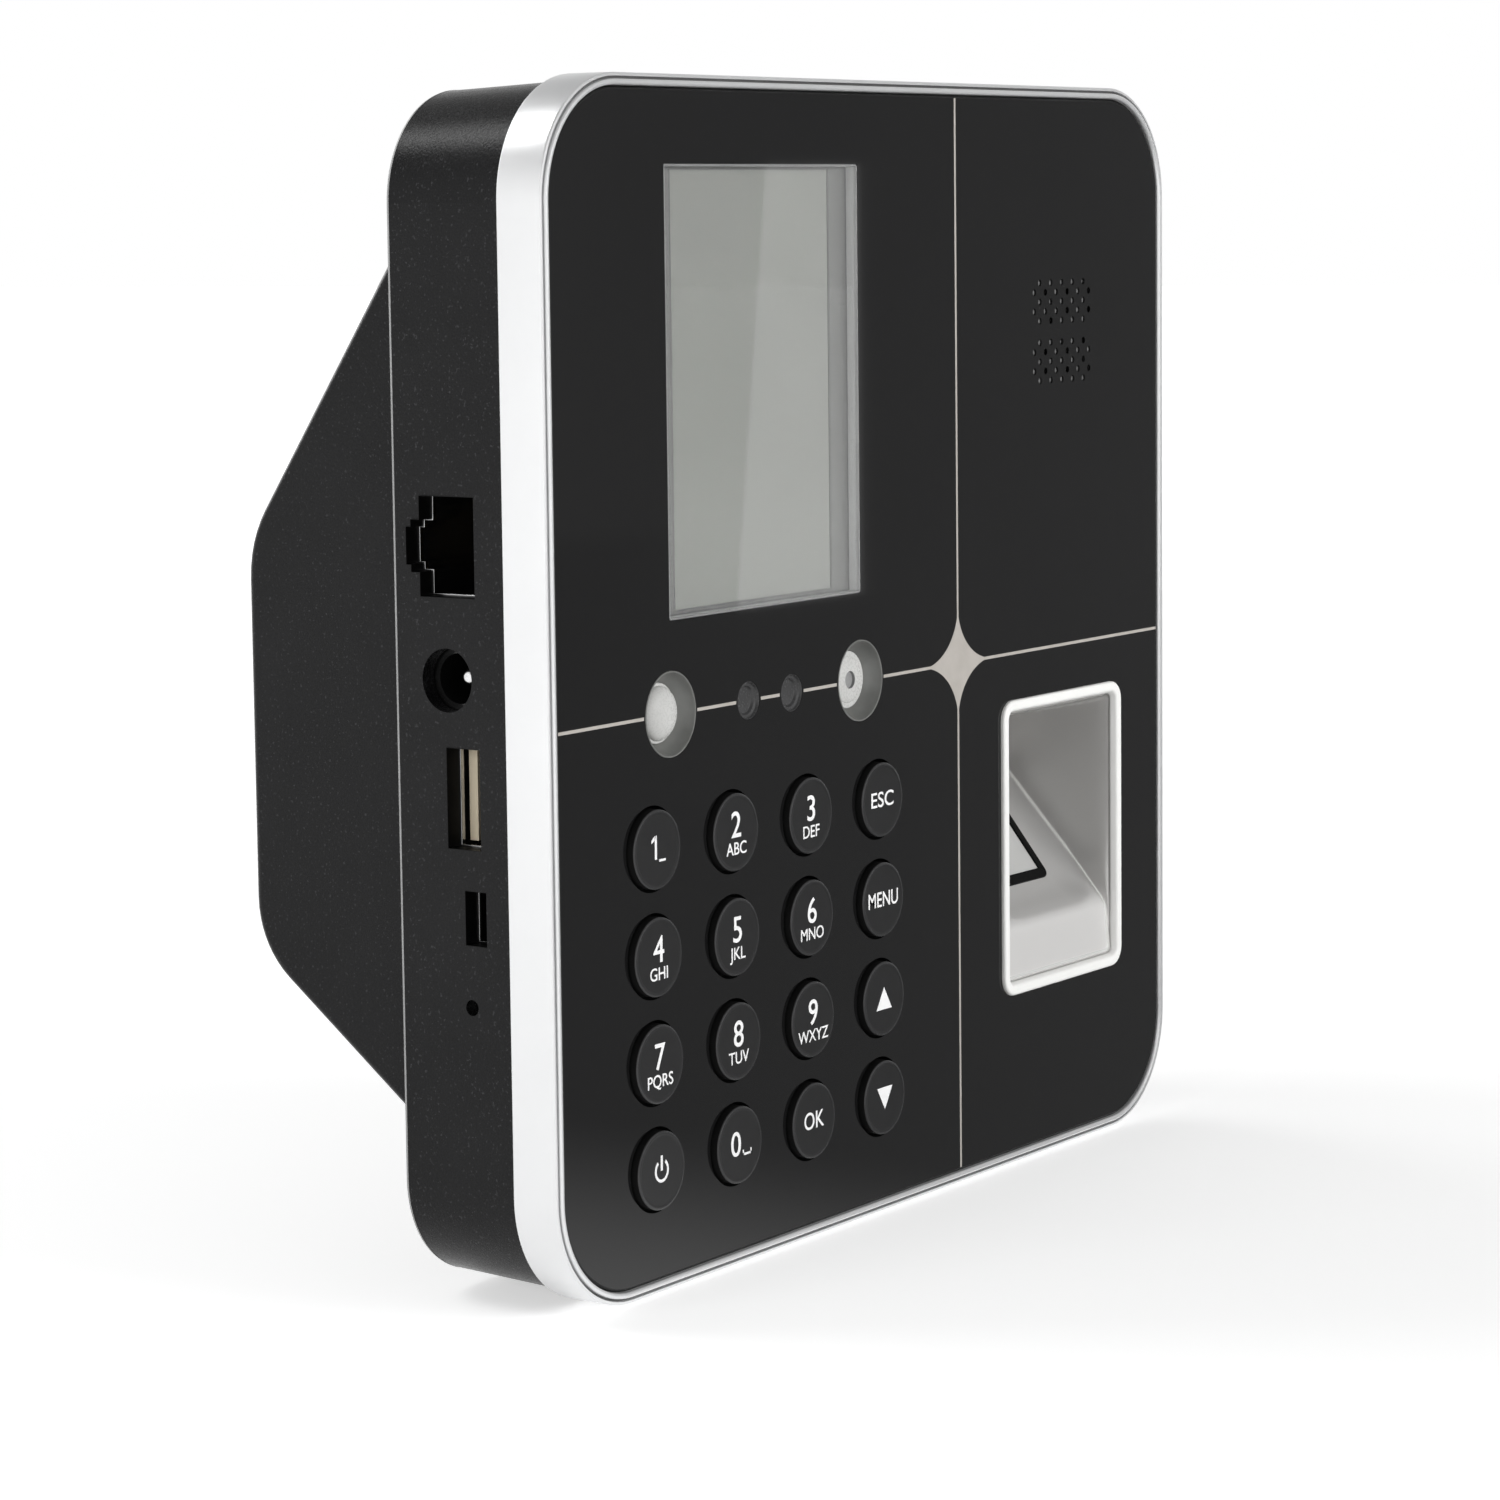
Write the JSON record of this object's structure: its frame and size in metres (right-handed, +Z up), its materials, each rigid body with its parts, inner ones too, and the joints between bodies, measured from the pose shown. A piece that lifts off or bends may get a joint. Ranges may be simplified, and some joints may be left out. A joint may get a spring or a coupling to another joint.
{
  "type": "fingerprint scanner terminal",
  "caption": "Wall terminal: silver-rimmed glossy black face with screen, round keys, lamps, speaker and sloping finger recess, on a matte black housing with side sockets and a rear pod.",
  "frame": {"origin": "middle of the flat wall face on the rear pod", "axes": "+X to the right of someone who faces the screen, +Y out of the wall face into the wall, +Z up"},
  "size_m": [0.152, 0.05, 0.152],
  "materials": {
    "silver_paint": "satin silver paint on moulded plastic",
    "gloss_black": "glossy black with fine silver lines",
    "housing_black": "fine spark-eroded black",
    "inner_black": "plain moulded black",
    "clear_window": "clear polished",
    "display": "grey screen that is switched off",
    "steel": "bright stamped steel",
    "screw_steel": "blackened steel",
    "key_black": "matte charcoal with white legends",
    "lamp_silver": "satin metallised cup",
    "lens_white": "milky polished",
    "dark_glass": "smoked polished",
    "led": "clear resin over phosphor",
    "component_black": "moulded epoxy",
    "board_green": "green solder mask",
    "flat_cable": "amber polyimide",
    "seal_rubber": "smooth black",
    "prism_glass": "polished optical glass",
    "speaker_cloth": "fine grey weave",
    "cone_paper": "pressed paper",
    "magnet": "ferrite",
    "socket_black": "glossy moulded black",
    "contact_gold": "gold flash",
    "pin_chrome": "plated",
    "tongue_cream": "cream insulator",
    "plunger_white": "moulded",
    "battery_wrap": "foil pouch"
  },
  "bodies": {
    "case": {"front_bezel": "silver_paint", "reader_bezel": "silver_paint", "fascia": "gloss_black", "side_housing": "housing_black", "rear_cover": "housing_black", "front_chassis": "inner_black", "reader_module": "inner_black", "screen_window": "clear_window", "lcd_panel": "display", "lcd_frame": "steel", "speaker_basket": "steel", "usb_host_shell": "steel", "usb_device_socket": "steel", "corner_screws": "screw_steel", "board_screws": "screw_steel", "small_screws": "screw_steel", "left_lamp_reflector": "lamp_silver", "right_lamp_reflector": "lamp_silver", "left_lamp_lens": "lens_white", "right_lamp_lens": "lens_white", "left_camera_window": "dark_glass", "right_camera_window": "dark_glass", "lamp_leds": "led", "camera_modules": "component_black", "key_switches": "component_black", "board_components": "component_black", "reset_switch": "component_black", "keypad_board": "board_green", "lamp_board": "board_green", "main_board": "board_green", "flat_cables": "flat_cable", "reader_seal": "seal_rubber", "reader_prism": "prism_glass", "speaker_cloth": "speaker_cloth", "speaker_cone": "cone_paper", "speaker_magnet": "magnet", "network_socket": "socket_black", "dc_socket": "socket_black", "network_contacts": "contact_gold", "dc_pin": "pin_chrome", "usb_host_tongue": "tongue_cream", "battery": "battery_wrap"},
    "key_1": {"key_1": "key_black"},
    "key_2": {"key_2": "key_black"},
    "key_3": {"key_3": "key_black"},
    "key_esc": {"key_esc": "key_black"},
    "key_4": {"key_4": "key_black"},
    "key_5": {"key_5": "key_black"},
    "key_6": {"key_6": "key_black"},
    "key_menu": {"key_menu": "key_black"},
    "key_7": {"key_7": "key_black"},
    "key_8": {"key_8": "key_black"},
    "key_9": {"key_9": "key_black"},
    "key_up": {"key_up": "key_black"},
    "key_power": {"key_power": "key_black"},
    "key_0": {"key_0": "key_black"},
    "key_ok": {"key_ok": "key_black"},
    "key_down": {"key_down": "key_black"},
    "reset_plunger": {"reset_plunger": "plunger_white"}
  },
  "joints": [
    {"name": "key_1_press", "type": "slide", "parent": "case", "child": "key_1", "axis": [0, 1, 0], "range_m": [0, 0.0007], "stiffness_N_per_m": 1500, "springref_m": -0.0003},
    {"name": "key_2_press", "type": "slide", "parent": "case", "child": "key_2", "axis": [0, 1, 0], "range_m": [0, 0.0007], "stiffness_N_per_m": 1500, "springref_m": -0.0003},
    {"name": "key_3_press", "type": "slide", "parent": "case", "child": "key_3", "axis": [0, 1, 0], "range_m": [0, 0.0007], "stiffness_N_per_m": 1500, "springref_m": -0.0003},
    {"name": "key_esc_press", "type": "slide", "parent": "case", "child": "key_esc", "axis": [0, 1, 0], "range_m": [0, 0.0007], "stiffness_N_per_m": 1500, "springref_m": -0.0003},
    {"name": "key_4_press", "type": "slide", "parent": "case", "child": "key_4", "axis": [0, 1, 0], "range_m": [0, 0.0007], "stiffness_N_per_m": 1500, "springref_m": -0.0003},
    {"name": "key_5_press", "type": "slide", "parent": "case", "child": "key_5", "axis": [0, 1, 0], "range_m": [0, 0.0007], "stiffness_N_per_m": 1500, "springref_m": -0.0003},
    {"name": "key_6_press", "type": "slide", "parent": "case", "child": "key_6", "axis": [0, 1, 0], "range_m": [0, 0.0007], "stiffness_N_per_m": 1500, "springref_m": -0.0003},
    {"name": "key_menu_press", "type": "slide", "parent": "case", "child": "key_menu", "axis": [0, 1, 0], "range_m": [0, 0.0007], "stiffness_N_per_m": 1500, "springref_m": -0.0003},
    {"name": "key_7_press", "type": "slide", "parent": "case", "child": "key_7", "axis": [0, 1, 0], "range_m": [0, 0.0007], "stiffness_N_per_m": 1500, "springref_m": -0.0003},
    {"name": "key_8_press", "type": "slide", "parent": "case", "child": "key_8", "axis": [0, 1, 0], "range_m": [0, 0.0007], "stiffness_N_per_m": 1500, "springref_m": -0.0003},
    {"name": "key_9_press", "type": "slide", "parent": "case", "child": "key_9", "axis": [0, 1, 0], "range_m": [0, 0.0007], "stiffness_N_per_m": 1500, "springref_m": -0.0003},
    {"name": "key_up_press", "type": "slide", "parent": "case", "child": "key_up", "axis": [0, 1, 0], "range_m": [0, 0.0007], "stiffness_N_per_m": 1500, "springref_m": -0.0003},
    {"name": "key_power_press", "type": "slide", "parent": "case", "child": "key_power", "axis": [0, 1, 0], "range_m": [0, 0.0007], "stiffness_N_per_m": 1500, "springref_m": -0.0003},
    {"name": "key_0_press", "type": "slide", "parent": "case", "child": "key_0", "axis": [0, 1, 0], "range_m": [0, 0.0007], "stiffness_N_per_m": 1500, "springref_m": -0.0003},
    {"name": "key_ok_press", "type": "slide", "parent": "case", "child": "key_ok", "axis": [0, 1, 0], "range_m": [0, 0.0007], "stiffness_N_per_m": 1500, "springref_m": -0.0003},
    {"name": "key_down_press", "type": "slide", "parent": "case", "child": "key_down", "axis": [0, 1, 0], "range_m": [0, 0.0007], "stiffness_N_per_m": 1500, "springref_m": -0.0003},
    {"name": "reset_press", "type": "slide", "parent": "case", "child": "reset_plunger", "axis": [1, 0, 0], "range_m": [0, 0.0003], "stiffness_N_per_m": 1500, "springref_m": -0.0002}
  ]
}
